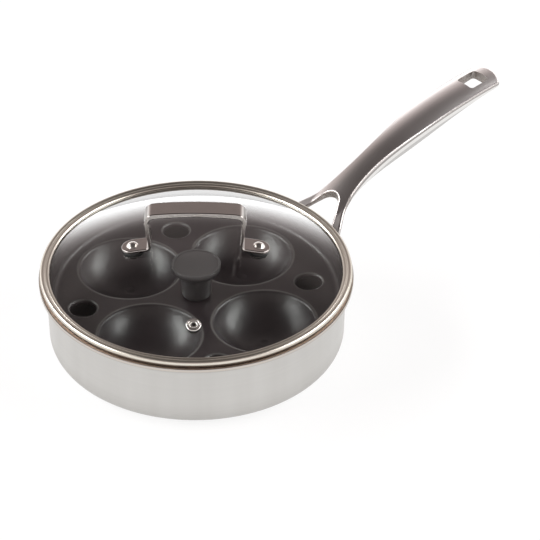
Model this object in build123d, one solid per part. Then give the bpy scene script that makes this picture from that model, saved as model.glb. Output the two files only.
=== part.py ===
from build123d import *
import os
from math import asin, cos, degrees, radians, sin, sqrt, tan

# Egg poacher pan: a shallow three-ply pan with a forked handle, a drop-in tray with four cups
# and a knob, and a glass lid in a steel rim band with a bow handle and a steam vent.
# Millimetres, +Z up, origin at the centre of the pan's flat base, handle along +X.

# Pan wall, measured on its outside face
lip_radius = 107.0
lip_curl_radius = 5.0
pan_height = 51.4
wall_taper = 0.9
base_corner_radius = 10.0
outer_ply = 0.4
core_ply = 1.5
inner_ply = 0.4

# Long handle: reaches are beyond the lip, rises above it, and halves are half widths
fork_inset = 19.0
fork_arm_half = 10.6
shoulder_reach = 17.0
shoulder_half = 16.6
neck_reach = 40.0
neck_half = 9.7
grip_reach = 98.0
grip_half = 12.0
tail_reach = 165.0
tail_half = 13.8
tail_corner_reach = 175.0
tail_tip_reach = 179.4
tail_corner_radius = 3.5
fork_gap_reach = 16.7
fork_gap_radius = 8.0
fork_gap_angle = 29.5
handle_root_inset = 7.0
handle_root_drop = 11.5
handle_middle_reach = 93.0
handle_middle_rise = 30.7
handle_tip_rise = 39.9
handle_crown_half = 12.0
handle_crown_rise = 2.7
handle_arm_drop = 3.0
handle_arm_thickness = 8.0
handle_waist_reach = 38.0
handle_waist_rise = 4.3
handle_hollow_reach = 70.0
handle_hollow_rise = 12.8
handle_belly_reach = 120.0
handle_belly_rise = 25.4
handle_tip_underside_rise = 33.4
handle_edge_round = 1.5
hang_hole_length = 17.8
hang_hole_width = 15.2
hang_hole_corner = 2.5
hang_hole_reach = 161.3

# Handle pads and rivets
pad_angle = 17.6
pad_width = 19.0
pad_length = 23.4
pad_drop = 17.0
pad_corner = 5.0
pad_thickness = 4.2
rivet_drop = 28.4
rivet_radius = 3.0
rivet_inner_head_radius = 6.0
rivet_inner_head_height = 1.8
rivet_outer_head_radius = 5.0
rivet_outer_head_height = 1.6

# Poacher tray
tray_sheet = 1.5
tray_plate_drop = 17.6
tray_corner_radius = 4.0
tray_flare_angle = 27.0
tray_turn = 58.0
tray_clearance = 0.3
cup_count = 4
cup_margin = 15.6
cup_gap = 6.35
cup_edge_round = 2.6
cup_wall_angle = 60.0
cup_flat_radius = 4.8
cup_dimple_radius = 3.4
cup_dimple_depth = 0.5
steam_hole_inset = 29.2
steam_hole_edge_radius = 11.0
steam_hole_round = 2.2
steam_hole_collar = 0.9

# Knob on the tray
knob_height = 25.7
knob_foot_radius = 10.0
knob_foot_round = 3.0
knob_stem_radius = 10.7
knob_cap_radius = 16.75
knob_cap_thickness = 5.5
knob_cap_flare = 4.5
knob_dish_depth = 0.8
knob_dish_radius = 14.4
insert_radius = 4.0
insert_length = 13.0
screw_radius = 2.5
screw_reach = 10.0
screw_head_radius = 4.6
screw_head_height = 2.8
screw_slot_width = 1.1
screw_slot_depth = 1.2
screw_clearance = 0.2
washer_radius = 7.5
washer_thickness = 1.0

# Lid glass
glass_thickness = 4.0
glass_dome_rise = 20.5
glass_brim_rise = 4.4
glass_brim_width = 4.2
glass_edge_inset = 3.8

# Rim band round the glass
band_bead_offset = 1.0
band_bead_drop = 0.6
band_bead_radius = 2.1
band_flange_width = 3.6
band_flange_thickness = 0.7
band_skirt_width = 2.3
band_seat_start_angle = 46.0
band_seat_end_angle = 64.0
lid_clearance = 0.3

# Lid's bow handle
lid_turn = -43.7
bow_width = 14.5
bow_reach = 50.3
bow_rise = 31.0
bow_crown = 2.2
bow_thickness = 3.6
bow_lean = 3.7
bow_corner_radius = 7.5
tab_length = 18.6
bow_foot_round = 2.0
tab_thickness = 2.1
bow_edge_round = 0.7
bow_rivet_inset = 7.9
bow_rivet_head_radius = 4.1
bow_rivet_head_height = 2.2
bow_rivet_radius = 2.0
bow_rivet_tail_radius = 3.2
bow_rivet_tail_height = 1.2
gasket_radius = 7.0
gasket_thickness = 1.2
gasket_sleeve_radius = 3.6
gasket_clearance = 0.1
lower_gasket_radius = 6.6
backing_washer_radius = 5.8
backing_washer_thickness = 1.0
glass_hole_clearance = 0.4

# Steam vent in the lid
vent_inset = 27.7
vent_flange_radius = 5.2
vent_flange_height = 1.1
vent_bore_radius = 1.75
vent_tube_radius = 3.0
vent_roll_radius = 4.4
vent_roll_height = 0.9
vent_gasket_radius = 5.6
vent_gasket_thickness = 0.7

# One overrun serves every cutting tool
overrun = 2.0
up = (0, 0, 1)

# Angles in degrees
full_turn = 360.0
half_turn = 180.0
quarter_turn = 90.0

# The pan, from the sizes above
wall_thickness = outer_ply + core_ply + inner_ply
wall_radius = lip_radius - lip_curl_radius
base_radius = wall_radius - wall_taper
curl_start = pan_height - lip_curl_radius - wall_thickness
curl_inner_radius = lip_curl_radius + wall_thickness

# The handle, from the pan's lip
fork_inner_x = lip_radius - fork_inset
fork_inner_half = wall_radius * sin(radians(pad_angle)) + fork_arm_half
shoulder_x = lip_radius + shoulder_reach
neck_x = lip_radius + neck_reach
grip_x = lip_radius + grip_reach
tail_x = lip_radius + tail_reach
tail_corner_x = lip_radius + tail_corner_reach
tail_tip_x = lip_radius + tail_tip_reach
fork_gap_apex_x = lip_radius + fork_gap_reach
handle_root_x = lip_radius - handle_root_inset
handle_middle_x = lip_radius + handle_middle_reach
hang_hole_x = lip_radius + hang_hole_reach
handle_root_height = pan_height - handle_root_drop
handle_middle_height = pan_height + handle_middle_rise
handle_tip_height = pan_height + handle_tip_rise
pad_top = pan_height - pad_drop
rivet_height = pan_height - rivet_drop

# The tray, from the pan: its cups share the room between them
tray_shift_radius = curl_inner_radius + tray_clearance
tray_plate_height = pan_height - tray_plate_drop
cup_spread = sin(radians(half_turn / cup_count))
cup_circle_radius = (lip_radius - cup_margin + cup_gap / 2) / (1 + cup_spread)
cup_edge_radius = cup_circle_radius * cup_spread - cup_gap / 2
steam_hole_circle_radius = lip_radius - steam_hole_inset

# The lid, from the pan's lip
glass_edge_radius = lip_radius - glass_edge_inset
glass_brim_inner_radius = glass_edge_radius - glass_brim_width
glass_brim_top = pan_height + glass_brim_rise
glass_top_height = glass_brim_top + glass_dome_rise
dome_radius = (glass_brim_inner_radius**2 + glass_dome_rise**2) / (2 * glass_dome_rise)
band_bead_centre_radius = glass_edge_radius + band_bead_offset
band_bead_centre_height = glass_brim_top - band_bead_drop
band_flange_inner_radius = glass_edge_radius - band_flange_width
band_skirt_inner_radius = glass_edge_radius - band_skirt_width
bow_top_height = glass_top_height + bow_rise
bow_rivet_reach = bow_reach - bow_rivet_inset
bow_foot_half = bow_reach - tab_length
bow_corner_half = bow_foot_half + bow_lean
vent_reach = glass_edge_radius - vent_inset


def arc(centre, radius, start, end):
    """Circular arc about a centre, from one angle to another in degrees."""
    points = []
    for angle in (start, (start + end) / 2, end):
        turn = radians(angle)
        points.append((centre[0] + radius * cos(turn), centre[1] + radius * sin(turn)))
    return ThreePointArc(*points)


def chain(*corners):
    """Straight edges through a row of corners."""
    return [Line(first, second) for first, second in zip(corners, corners[1:])]


def spin(edges):
    """Solid turned about +Z from a closed outline of (radius, height) edges."""
    return revolve(Plane.XZ * Face(Wire(edges)), Axis.Z)


def around(solid, count, turn=0.0):
    """Copies of a solid spaced evenly about +Z."""
    return [Rot(0, 0, turn + step * full_turn / count) * solid for step in range(count)]


# Pan wall
def pan_path(depth):
    """Edges of the pan's section at a depth below its outside face, from the axis to the lip."""
    corner = (base_radius - base_corner_radius, base_corner_radius)
    return [
        Line((0, depth), (corner[0], depth)),
        arc(corner, base_corner_radius - depth, -quarter_turn, 0),
        Line((base_radius - depth, base_corner_radius), (wall_radius - depth, curl_start)),
        arc((lip_radius, curl_start), lip_curl_radius + depth, half_turn, quarter_turn),
    ]


def pan_ply(start, end):
    """One ply of the pan between two depths."""
    lip_low = curl_start + lip_curl_radius
    tip = Line((lip_radius, lip_low + start), (lip_radius, lip_low + end))
    axis = Line((0, end), (0, start))
    return spin(pan_path(start) + [tip] + pan_path(end)[::-1] + [axis])


def pan_filled():
    """Everything inside the pan's outside face, used to cut what is fixed against it."""
    top = curl_start + lip_curl_radius
    return spin(pan_path(0) + chain((lip_radius, top), (0, top), (0, 0)))


def pan_cavity():
    """Everything inside the pan's inside face."""
    top = curl_start + curl_inner_radius
    return spin(pan_path(wall_thickness) + chain((lip_radius, top), (0, top), (0, wall_thickness)))


# Long handle
def handle_outline():
    """Plan of the handle without its gaps."""
    slope = (shoulder_half - fork_inner_half) / (shoulder_x - fork_inner_x)
    sides = []
    for side in (1, -1):
        points = [(shoulder_x, side * shoulder_half), (neck_x, side * neck_half),
                  (grip_x, side * grip_half), (tail_x, side * tail_half),
                  (tail_corner_x, side * tail_half)]
        edges = chain((fork_inner_x, side * fork_inner_half), points[0])
        edges.append(Spline(*points, tangents=[(1, side * slope), (1, 0)]))
        sides.append(edges)
    tail = ThreePointArc((tail_corner_x, tail_half), (tail_tip_x, 0), (tail_corner_x, -tail_half))
    root = Line((fork_inner_x, -fork_inner_half), (fork_inner_x, fork_inner_half))
    outline = Face(Wire(sides[0] + [tail] + sides[1][::-1] + [root]))
    corners = outline.vertices().filter_by(lambda v: abs(v.X - tail_corner_x) < overrun)
    return fillet(corners, tail_corner_radius)


def fork_gap():
    """Plan of the gap between the fork's arms."""
    lean = radians(fork_gap_angle)
    touch = (fork_gap_apex_x + fork_gap_radius * sin(lean), fork_gap_radius * cos(lean))
    root_half = touch[1] + (touch[0] - fork_inner_x + overrun) * tan(lean)
    root_x = fork_inner_x - overrun
    edges = chain((touch[0], -touch[1]), (root_x, -root_half), (root_x, root_half), touch)
    edges.append(ThreePointArc(touch, (fork_gap_apex_x + fork_gap_radius, 0), (touch[0], -touch[1])))
    return Face(Wire(edges))


def handle_crown():
    """Everything under the handle's top: a ridge along its middle, and a flat over each arm."""
    ridge = ThreePointArc((handle_root_x, handle_root_height), (handle_middle_x, handle_middle_height),
                          (tail_tip_x, handle_tip_height))
    centre = ridge.arc_center
    top = centre.Y + ridge.radius
    flat = top - handle_arm_drop
    crown = (handle_crown_half**2 + handle_crown_rise**2) / (2 * handle_crown_rise)
    lean = asin(handle_crown_half / crown)
    valley = (handle_arm_drop - handle_crown_rise) / (1 - cos(lean))
    valley_half = handle_crown_half + valley * sin(lean)
    outer = fork_inner_half + overrun
    low = -quarter_turn - degrees(lean)
    right = arc((valley_half, flat + valley), valley, low, -quarter_turn)
    left = arc((-valley_half, flat + valley), valley, -quarter_turn, -half_turn - low)
    edges = [ThreePointArc(left @ 1, (0, top), right @ 0), right, left]
    edges += chain((valley_half, flat), (outer, flat), (outer, centre.Y), (-outer, centre.Y),
                   (-outer, flat), (-valley_half, flat))
    section = Plane.YZ.offset(centre.X) * Face(Wire(edges))
    return revolve(section, Axis((centre.X, 0, centre.Y), (0, 1, 0)))


def above_underside():
    """Side view of everything over the handle's underside."""
    root = (handle_root_x, handle_root_height - handle_arm_drop - handle_arm_thickness)
    waist = (lip_radius + handle_waist_reach, pan_height + handle_waist_rise)
    hollow = (lip_radius + handle_hollow_reach, pan_height + handle_hollow_rise)
    belly = (lip_radius + handle_belly_reach, pan_height + handle_belly_rise)
    tip = (tail_tip_x + overrun, pan_height + handle_tip_underside_rise)
    lead = handle_root_x - fork_inner_x + overrun
    inner = (root[0] - lead, root[1] - lead * (waist[1] - root[1]) / (waist[0] - root[0]))
    tall = handle_tip_height + overrun
    edges = [Line(inner, root), Spline(root, waist, hollow, belly, tip)]
    edges += chain(tip, (tip[0], tall), (inner[0], tall), inner)
    return Plane.XZ * Face(Wire(edges))


def handle_pad(side):
    """Plate under one arm of the fork that lies on the pan's wall."""
    middle = pad_top - pad_length / 2
    face = RectangleRounded(pad_width, pad_length, pad_corner)
    reach = wall_radius + pad_thickness
    start = wall_radius - pad_thickness
    plate = extrude(Plane((start, 0, middle), x_dir=(0, 1, 0), z_dir=(1, 0, 0)) * face, reach - start)
    return Rot(0, 0, side * pad_angle) * plate


def radial_pin(radius, start, end, side):
    """Cylinder on a rivet's axis between two distances from the pan's axis."""
    plane = Plane((start, 0, rivet_height), x_dir=(0, 1, 0), z_dir=(1, 0, 0))
    return Rot(0, 0, side * pad_angle) * extrude(plane * Circle(radius), end - start)


def rivet_holes():
    """Cutting pins for both rivets, through the pads and the wall."""
    start = wall_radius - wall_thickness - pad_thickness
    end = wall_radius + pad_thickness + overrun
    return [radial_pin(rivet_radius, start, end, side) for side in (1, -1)]


def pan_handle():
    """Forked handle with its two pads."""
    tall = handle_tip_height + overrun
    outline = extrude(handle_outline() - fork_gap(), tall, dir=up)
    hole = Pos(hang_hole_x, 0) * RectangleRounded(hang_hole_length, hang_hole_width, hang_hole_corner)
    profile = extrude(above_underside(), fork_inner_half + overrun, both=True)
    bar = outline & handle_crown() & profile
    flat = bar.edges() - bar.edges().filter_by(Axis.Z)
    rim = [edge for edge in flat if edge.center().X > fork_inner_x + overrun and edge.length > handle_root_inset]
    bar = fillet(rim, handle_edge_round) - extrude(hole, tall, dir=up)
    solid = bar + [handle_pad(side) for side in (1, -1)]
    solid = solid - pan_filled()
    return solid - rivet_holes()


def handle_rivet(side):
    """Rivet with a flat head inside the pan and a domed head on the pad."""
    outside = wall_radius + pad_thickness
    inside = wall_radius - wall_thickness - rivet_inner_head_height
    shank = radial_pin(rivet_radius, inside, outside, side)
    head = radial_pin(rivet_inner_head_radius, inside, wall_radius, side) & pan_cavity()
    plane = Plane((outside, 0, rivet_height), x_dir=(0, 1, 0), z_dir=(1, 0, 0))
    cap = dome_head(rivet_outer_head_radius, rivet_outer_head_height)
    return shank + head + Rot(0, 0, side * pad_angle) * (plane * cap)


def dome_head(radius, height):
    """Low domed rivet head that stands on Z=0."""
    edges = [Line((0, 0), (radius, 0))]
    sphere = (radius**2 + height**2) / (2 * height)
    spread = degrees(asin(radius / sphere))
    edges.append(arc((0, height - sphere), sphere, quarter_turn - spread, quarter_turn))
    edges.append(Line((0, height), (0, 0)))
    return spin(edges)


# Poacher tray
def tray_dish():
    """Plate and upstanding edge of the tray, which hangs on the pan's curl."""
    plate = tray_plate_height
    knee = plate + tray_corner_radius
    curl = (lip_radius, curl_start)
    lean = wall_taper * (curl_start - knee) / (curl_start - base_corner_radius)
    paths = []
    for depth in (0, tray_sheet):
        top = lip_radius - tray_shift_radius - tray_sheet + depth
        low = top - lean
        centre = (low - tray_corner_radius - depth, knee)
        paths.append([
            Line((0, plate - depth), (centre[0], plate - depth)),
            arc(centre, tray_corner_radius + depth, -quarter_turn, 0),
            Line((low, knee), (top, curl_start)),
            arc(curl, tray_shift_radius + tray_sheet - depth, half_turn, half_turn - tray_flare_angle),
        ])
    tip = Line(paths[0][-1] @ 1, paths[1][-1] @ 1)
    axis = Line((0, plate - tray_sheet), (0, plate))
    return spin(paths[0] + [tip] + paths[1][::-1] + [axis])


def egg_cup():
    """Bowl pressed into the plate, with its rounded edge at the plate's level."""
    turn = radians(cup_wall_angle)
    flat = cup_flat_radius
    bowl = (cup_edge_radius - flat) / sin(turn) - cup_edge_round
    top = tray_plate_height
    bottom = top - (cup_edge_round + bowl) * (1 - cos(turn))
    edges = []
    for depth in (0, tray_sheet):
        edge_centre = (cup_edge_radius, top - cup_edge_round)
        edge_arc = arc(edge_centre, cup_edge_round - depth, quarter_turn, quarter_turn + cup_wall_angle)
        bowl_arc = arc((flat, bottom + bowl), bowl + depth, cup_wall_angle - quarter_turn, -quarter_turn)
        edges.append([edge_arc, bowl_arc, Line((flat, bottom - depth), (0, bottom - depth))])
    rim = Line((cup_edge_radius, top - tray_sheet), (cup_edge_radius, top))
    axis = Line((0, bottom), (0, bottom - tray_sheet))
    cup = spin(edges[0] + [axis] + edges[1][::-1] + [rim])
    ball = (cup_dimple_radius**2 + cup_dimple_depth**2) / (2 * cup_dimple_depth)
    return cup - Pos(0, 0, bottom - cup_dimple_depth + ball) * Sphere(ball)


def steam_collar():
    """Rounded edge of a steam hole, turned down below the plate."""
    top = tray_plate_height
    centre = (steam_hole_edge_radius, top - steam_hole_round)
    inner = steam_hole_edge_radius - steam_hole_round
    foot = top - steam_hole_round - steam_hole_collar
    edges = [arc(centre, steam_hole_round, quarter_turn, half_turn)]
    outer = inner + tray_sheet
    edges += chain((inner, centre[1]), (inner, foot), (outer, foot), (outer, centre[1]))
    edges.append(arc(centre, steam_hole_round - tray_sheet, half_turn, quarter_turn))
    edges += chain((steam_hole_edge_radius, top - tray_sheet), (steam_hole_edge_radius, top))
    return spin(edges)


def plate_opening(radius):
    """Cutting cylinder through the tray's plate."""
    return Pos(0, 0, tray_plate_height) * Cylinder(radius, 2 * (tray_sheet + overrun))


def poacher_tray():
    """Tray with its cups and steam holes, pressed from one sheet."""
    cup_turn = tray_turn - half_turn / cup_count
    at_cup = Pos(cup_circle_radius, 0, 0)
    at_hole = Pos(steam_hole_circle_radius, 0, 0)
    tray = tray_dish() - plate_opening(screw_radius + screw_clearance)
    tray = tray - around(at_cup * plate_opening(cup_edge_radius), cup_count, cup_turn)
    tray = tray - around(at_hole * plate_opening(steam_hole_edge_radius), cup_count, tray_turn)
    tray = tray + around(at_cup * egg_cup(), cup_count, cup_turn)
    return tray + around(at_hole * steam_collar(), cup_count, tray_turn)


# Knob on the tray
def knob_grip():
    """Moulded knob with a dished cap, bored for its threaded insert."""
    foot = tray_plate_height
    top = foot + knob_height
    cap_low = top - knob_cap_thickness
    flare_x = knob_stem_radius + knob_cap_flare
    cap_middle = (knob_cap_radius, (cap_low + top) / 2)
    edges = chain((insert_radius, foot), (knob_foot_radius - knob_foot_round, foot))
    foot_centre = (knob_foot_radius - knob_foot_round, foot + knob_foot_round)
    edges.append(arc(foot_centre, knob_foot_round, -quarter_turn, 0))
    edges += chain((knob_foot_radius, foot + knob_foot_round), (knob_stem_radius, cap_low - knob_cap_flare))
    edges.append(arc((flare_x, cap_low - knob_cap_flare), knob_cap_flare, half_turn, quarter_turn))
    edges.append(ThreePointArc((flare_x, cap_low), cap_middle, (flare_x, top)))
    edges += chain((flare_x, top), (knob_dish_radius, top - knob_dish_depth), (0, top - knob_dish_depth),
                   (0, foot + insert_length), (insert_radius, foot + insert_length), (insert_radius, foot))
    return spin(edges)


def knob_nut_insert():
    """Threaded insert moulded into the knob."""
    foot = tray_plate_height
    body = Pos(0, 0, foot + insert_length / 2) * Cylinder(insert_radius, insert_length)
    return body - Pos(0, 0, foot + screw_reach / 2) * Cylinder(screw_radius, screw_reach)


def knob_screw():
    """Screw from under the tray into the insert, with a slotted domed head."""
    seat = tray_plate_height - tray_sheet - washer_thickness
    length = tray_plate_height + screw_reach - seat
    shank = Pos(0, 0, seat + length / 2) * Cylinder(screw_radius, length)
    head = Pos(0, 0, seat) * Rot(half_turn, 0, 0) * dome_head(screw_head_radius, screw_head_height)
    slot_height = seat - screw_head_height + screw_slot_depth / 2
    slot = Pos(0, 0, slot_height) * Box(2 * screw_head_radius, screw_slot_width, screw_slot_depth)
    return shank + head - slot


def knob_washer():
    """Washer between the screw's head and the tray."""
    middle = tray_plate_height - tray_sheet - washer_thickness / 2
    disc = Cylinder(washer_radius, washer_thickness) - Cylinder(screw_radius, washer_thickness)
    return Pos(0, 0, middle) * disc


# Lid glass and its rim band
def dome_height(reach, depth=0.0):
    """Height of the dome's surface at a reach from the axis and a depth into the glass."""
    shell = dome_radius - depth
    return glass_top_height - dome_radius + sqrt(shell**2 - reach**2)


def dome_section(depth, reach):
    """Edge of the dome at a depth into the glass, from the axis to a reach."""
    shell = dome_radius - depth
    spread = degrees(asin(reach / shell))
    return arc((0, glass_top_height - dome_radius), shell, quarter_turn, quarter_turn - spread)


def lid_glass():
    """Domed glass with a flat brim and holes for the bow's rivets and the vent."""
    brim_low = glass_brim_top - glass_thickness
    shell = dome_radius - glass_thickness
    inner_reach = sqrt(shell**2 - (brim_low - glass_top_height + dome_radius)**2)
    edges = [dome_section(0, glass_brim_inner_radius)]
    edges += chain((glass_brim_inner_radius, glass_brim_top), (glass_edge_radius, glass_brim_top),
                   (glass_edge_radius, brim_low), (inner_reach, brim_low))
    edges.append(dome_section(glass_thickness, inner_reach))
    edges.append(Line((0, glass_top_height - glass_thickness), (0, glass_top_height)))
    glass = spin(edges)
    hole = 2 * (glass_thickness + overrun)
    bow_hole = Cylinder(gasket_sleeve_radius + glass_hole_clearance, hole)
    vent_hole = Cylinder(vent_tube_radius + glass_hole_clearance, hole)
    return glass - [place * bow_hole for place in bow_places()] - vent_place() * vent_hole


def lid_rim_band():
    """Rolled band round the glass: bead outside, flange above, seat below."""
    bead = (band_bead_centre_radius, band_bead_centre_height)
    brim_low = glass_brim_top - glass_thickness
    seat_radius = curl_inner_radius + lid_clearance
    curl = (lip_radius, curl_start)
    seat = arc(curl, seat_radius, half_turn - band_seat_end_angle, half_turn - band_seat_start_angle)
    seat_outer = seat @ 0
    seat_inner = seat @ 1
    flange_top = glass_brim_top + band_flange_thickness
    edges = [arc(bead, band_bead_radius, quarter_turn, -quarter_turn)]
    edges += chain((bead[0], bead[1] - band_bead_radius), (seat_outer.X, bead[1] - band_bead_radius),
                   (seat_outer.X, seat_outer.Y))
    edges.append(seat)
    edges += chain((seat_inner.X, seat_inner.Y), (band_skirt_inner_radius, seat_inner.Y),
                   (band_skirt_inner_radius, brim_low), (glass_edge_radius, brim_low),
                   (glass_edge_radius, glass_brim_top), (band_flange_inner_radius, glass_brim_top),
                   (band_flange_inner_radius, flange_top), (bead[0], bead[1] + band_bead_radius))
    return spin(edges)


# Places on the dome, each with its own +Z along the dome's normal
def dome_place(reach, turn):
    """Frame on the dome's top face at a reach and a direction."""
    tilt = degrees(asin(reach / dome_radius))
    return Rot(0, 0, turn) * Pos(reach, 0, dome_height(reach)) * Rot(0, tilt, 0)


def bow_places():
    """Frames of the bow's two rivets."""
    return [dome_place(bow_rivet_reach, lid_turn + turn) for turn in (0, half_turn)]


def vent_place():
    """Frame of the steam vent, square to the bow."""
    return dome_place(vent_reach, lid_turn - quarter_turn)


def on_dome(solid):
    """The part of a solid above the glass, in the frame of a bow rivet."""
    centre = Pos(0, 0, -dome_radius)
    return solid - centre * Sphere(dome_radius)


# Bow handle and its fixings
def mirrored(row):
    """The same corners on the other side of the bow, in reverse order."""
    return [(-reach, height) for reach, height in row[::-1]]


def bow_section():
    """Side view of the bow, as a closed outline in (reach, height)."""
    tilt = asin(bow_rivet_reach / dome_radius)
    seat = dome_height(bow_rivet_reach) + gasket_thickness / cos(tilt)
    tab_rise = tab_thickness / cos(tilt)

    def tab(reach):
        return seat - (reach - bow_rivet_reach) * tan(tilt)

    end = bow_reach + overrun
    shoulder = bow_top_height - bow_crown
    inner_foot = bow_foot_half - tab_thickness
    inner_corner = (bow_corner_half - bow_thickness, shoulder - bow_thickness)
    outer = [(end, tab(end) + tab_rise), (bow_foot_half, tab(bow_foot_half) + tab_rise),
             (bow_corner_half, shoulder)]
    inner = [(end, tab(end)), (inner_foot, tab(inner_foot)), inner_corner]
    top = ThreePointArc(outer[-1], (0, bow_top_height), mirrored(outer)[0])
    below = ThreePointArc(inner[-1], (0, bow_top_height - bow_thickness), mirrored(inner)[0])
    edges = chain(*outer) + [top] + chain(*mirrored(outer), *mirrored(inner)[::-1])
    edges += [below] + chain(*inner[::-1], outer[0])
    face = Face(Wire(edges))
    rounds = [(outer[1], bow_foot_round), (inner[1], bow_foot_round + tab_thickness),
              (outer[2], bow_corner_radius), (inner[2], bow_corner_radius - bow_thickness)]
    for (reach, height), radius in rounds:
        for side in (1, -1):
            corner = face.vertices().sort_by_distance((side * reach, height))[0]
            face = fillet(corner, radius)
    return face


def lid_handle():
    """Flat bow with rounded tabs, on the lid's own direction."""
    side = extrude(Plane.XZ * bow_section(), bow_width / 2, both=True)
    plan = SlotOverall(2 * bow_reach, bow_width)
    bow = side & extrude(plan, bow_top_height + overrun, dir=up)
    across = bow.edges().filter_by(Axis.Y)
    rim = [edge for edge in bow.edges() - across if edge.length > bow_edge_round + tab_thickness]
    bow = fillet(rim, bow_edge_round)
    bow = Rot(0, 0, lid_turn) * bow
    hole = Cylinder(bow_rivet_radius, 2 * (gasket_thickness + tab_thickness + overrun))
    return bow - [place * hole for place in bow_places()]


def standing(radius, low, high):
    """Cylinder on a place's axis between two levels."""
    return Pos(0, 0, (low + high) / 2) * Cylinder(radius, high - low)


def below_glass(solid):
    """The part of a solid under the glass, in the frame of a bow rivet."""
    centre = Pos(0, 0, -dome_radius)
    return solid & (centre * Sphere(dome_radius - glass_thickness))


def bow_rivet():
    """Dome-headed rivet through tab, gaskets, glass and washer."""
    low = -glass_thickness - gasket_thickness - backing_washer_thickness
    high = gasket_thickness + tab_thickness
    head = Pos(0, 0, high) * dome_head(bow_rivet_head_radius, bow_rivet_head_height)
    under = Pos(0, 0, low) * Rot(half_turn, 0, 0)
    tail = under * dome_head(bow_rivet_tail_radius, bow_rivet_tail_height)
    return standing(bow_rivet_radius, low, high) + head + tail


def upper_gasket():
    """Gasket under a tab, with a sleeve that lines the hole in the glass."""
    bore = bow_rivet_radius + gasket_clearance
    pad = on_dome(standing(gasket_radius, -gasket_thickness, gasket_thickness))
    sleeve = standing(gasket_sleeve_radius, -glass_thickness, 0)
    return pad + sleeve - standing(bore, -glass_thickness - overrun, gasket_thickness + overrun)


def lower_gasket():
    """Gasket between the glass and the backing washer."""
    low = -glass_thickness - gasket_thickness
    bore = bow_rivet_radius + gasket_clearance
    pad = below_glass(standing(lower_gasket_radius, low, 0))
    return pad - standing(bore, low - overrun, 0) - standing(gasket_sleeve_radius, -glass_thickness, 0)


def backing_washer():
    """Steel washer under the lower gasket."""
    high = -glass_thickness - gasket_thickness
    low = high - backing_washer_thickness
    bore = standing(bow_rivet_radius, low - overrun, high + overrun)
    return standing(backing_washer_radius, low, high) - bore


# Steam vent
def vent_eyelet():
    """Rolled steel eyelet through the glass."""
    low = -glass_thickness - vent_roll_height
    collar = vent_gasket_thickness
    cap = Pos(0, 0, collar) * dome_head(vent_flange_radius, vent_flange_height)
    roll = below_glass(standing(vent_roll_radius, low, 0))
    tube = standing(vent_tube_radius, low, collar)
    bore = standing(vent_bore_radius, low - overrun, collar + vent_flange_height + overrun)
    return cap + roll + tube - bore


def vent_gasket():
    """Ring between the eyelet's flange and the glass."""
    ring = on_dome(standing(vent_gasket_radius, -vent_gasket_thickness, vent_gasket_thickness))
    return ring - standing(vent_tube_radius, -overrun, overrun)


def at_bow(solid):
    """A fixing at both rivets of the bow, as separate solids."""
    return Compound([place * solid for place in bow_places()])


def build():
    """All pieces by node name."""
    holes = rivet_holes()
    return {
        "pan_outer_ply": pan_ply(0, outer_ply) - holes,
        "pan_core_ply": pan_ply(outer_ply, outer_ply + core_ply) - holes,
        "pan_inner_ply": pan_ply(outer_ply + core_ply, wall_thickness) - holes,
        "pan_handle": pan_handle(),
        "handle_rivets": Compound([handle_rivet(side) for side in (1, -1)]),
        "poacher_tray": poacher_tray(),
        "knob_grip": knob_grip(),
        "knob_nut_insert": knob_nut_insert(),
        "knob_screw": knob_screw(),
        "knob_washer": knob_washer(),
        "lid_glass": lid_glass(),
        "lid_rim_band": lid_rim_band(),
        "lid_handle": lid_handle(),
        "lid_handle_rivets": at_bow(bow_rivet()),
        "lid_upper_gaskets": at_bow(upper_gasket()),
        "lid_lower_gaskets": at_bow(lower_gasket()),
        "lid_backing_washers": at_bow(backing_washer()),
        "vent_eyelet": vent_place() * vent_eyelet(),
        "vent_gasket": vent_place() * vent_gasket(),
    }


os.makedirs("parts", exist_ok=True)
for name, shape in build().items():
    export_step(shape, f"parts/{name}.step")
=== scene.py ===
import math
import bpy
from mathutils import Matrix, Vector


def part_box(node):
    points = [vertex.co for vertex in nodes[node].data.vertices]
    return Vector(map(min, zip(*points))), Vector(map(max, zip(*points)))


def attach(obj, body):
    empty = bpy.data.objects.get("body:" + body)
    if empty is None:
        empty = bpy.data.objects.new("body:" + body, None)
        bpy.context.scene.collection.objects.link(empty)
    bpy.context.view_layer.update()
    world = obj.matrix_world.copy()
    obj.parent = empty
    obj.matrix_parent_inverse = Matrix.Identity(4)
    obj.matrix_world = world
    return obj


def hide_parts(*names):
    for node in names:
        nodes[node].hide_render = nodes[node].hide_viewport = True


bl_info = {
    "name": "Egg Poacher Pan",
    "version": (1, 0, 0),
    "blender": (4, 5, 0),
    "location": "3D View > Sidebar > Egg Poacher",
    "description": "Finishes, turned fittings and studio for an egg poacher pan with a glass lid",
    "category": "Object",
}

import bmesh
import bpy
from bpy.props import FloatProperty, FloatVectorProperty, IntProperty, PointerProperty
from mathutils import Vector

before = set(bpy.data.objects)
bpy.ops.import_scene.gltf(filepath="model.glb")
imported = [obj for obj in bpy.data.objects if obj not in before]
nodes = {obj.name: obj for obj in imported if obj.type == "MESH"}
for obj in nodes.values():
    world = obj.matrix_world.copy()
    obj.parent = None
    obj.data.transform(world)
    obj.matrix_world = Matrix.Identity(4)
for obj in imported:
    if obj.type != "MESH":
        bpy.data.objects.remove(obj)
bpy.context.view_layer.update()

# Lengths are in metres, and small ones are written in millimetres
MM = 0.001

# Faces that meet at more than this angle keep a sharp edge
SHARP_ANGLE = math.radians(38.0)

# Sizes read from the frame
BAND_LOW, BAND_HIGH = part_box("lid_rim_band")
GLASS_LOW, GLASS_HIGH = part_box("lid_glass")
KNOB_LOW, KNOB_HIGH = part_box("knob_grip")
PAN_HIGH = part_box("pan_outer_ply")[1]
HANDLE_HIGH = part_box("pan_handle")[1]

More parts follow.
